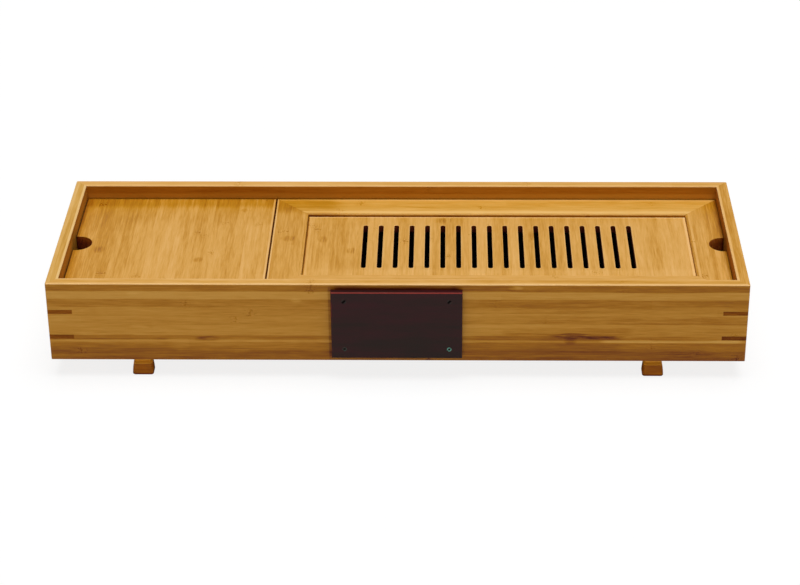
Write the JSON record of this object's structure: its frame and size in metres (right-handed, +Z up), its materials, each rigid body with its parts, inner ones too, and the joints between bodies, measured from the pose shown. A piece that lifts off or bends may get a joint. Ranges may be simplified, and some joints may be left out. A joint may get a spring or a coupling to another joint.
{
  "type": "gongfu tea table",
  "caption": "Long low bamboo tea tray on flared feet: mitred, keyed case with a lift-off storage lid and a slotted draining tray over a lift-out water pan, bare dark plate in front.",
  "frame": {"origin": "bottom centre of the bounding box, on the surface that the feet stand on; the case itself is centred 3 mm behind it because the front plate stands proud", "axes": "+X along the case to the viewer's right, -Y out of the front that carries the plate, +Z up"},
  "size_m": [0.7, 0.236, 0.108],
  "materials": {
    "bamboo": "carbonised bamboo ply, satin lacquer",
    "key_wood": "dark hardwood, planed flush, satin lacquer",
    "plate_wood": "dark rosewood, satin lacquer",
    "pan_plastic": "moulded, fine matt",
    "plate_screw_metal": "darkened bronze",
    "foot_screw_metal": "zinc-plated"
  },
  "bodies": {
    "case": {"front_board": "bamboo", "back_board": "bamboo", "left_end_board": "bamboo", "right_end_board": "bamboo", "corner_key_front_left_upper": "key_wood", "corner_key_front_right_upper": "key_wood", "corner_key_back_left_upper": "key_wood", "corner_key_back_right_upper": "key_wood", "corner_key_front_left_lower": "key_wood", "corner_key_front_right_lower": "key_wood", "corner_key_back_left_lower": "key_wood", "corner_key_back_right_lower": "key_wood", "bottom_board": "bamboo", "divider": "bamboo", "storage_ledger_front": "bamboo", "storage_ledger_back": "bamboo", "tray_ledger_front": "bamboo", "tray_ledger_back": "bamboo", "front_plate": "plate_wood", "plate_screws": "plate_screw_metal", "foot_front_left": "bamboo", "foot_front_right": "bamboo", "foot_back_left": "bamboo", "foot_back_right": "bamboo", "foot_screws": "foot_screw_metal"},
    "storage_lid": {"storage_lid": "bamboo"},
    "drain_tray": {"tray_rail_front": "bamboo", "tray_rail_back": "bamboo", "tray_rail_left": "bamboo", "tray_rail_right": "bamboo", "tray_tenon_front_left": "bamboo", "tray_tenon_front_right": "bamboo", "tray_tenon_back_left": "bamboo", "tray_tenon_back_right": "bamboo", "slotted_panel": "bamboo"},
    "water_pan": {"water_pan": "pan_plastic"}
  },
  "joints": [
    {"name": "lid_lift", "type": "slide", "parent": "case", "child": "storage_lid", "axis": [0, 0, 1], "range_m": [0, 0.06]},
    {"name": "tray_lift", "type": "slide", "parent": "case", "child": "drain_tray", "axis": [0, 0, 1], "range_m": [0, 0.16]},
    {"name": "pan_lift", "type": "slide", "parent": "case", "child": "water_pan", "axis": [0, 0, 1], "range_m": [0, 0.096]}
  ],
  "couplings": [
    {"joint": "pan_lift", "follows": "tray_lift", "ratio": 0.6}
  ]
}
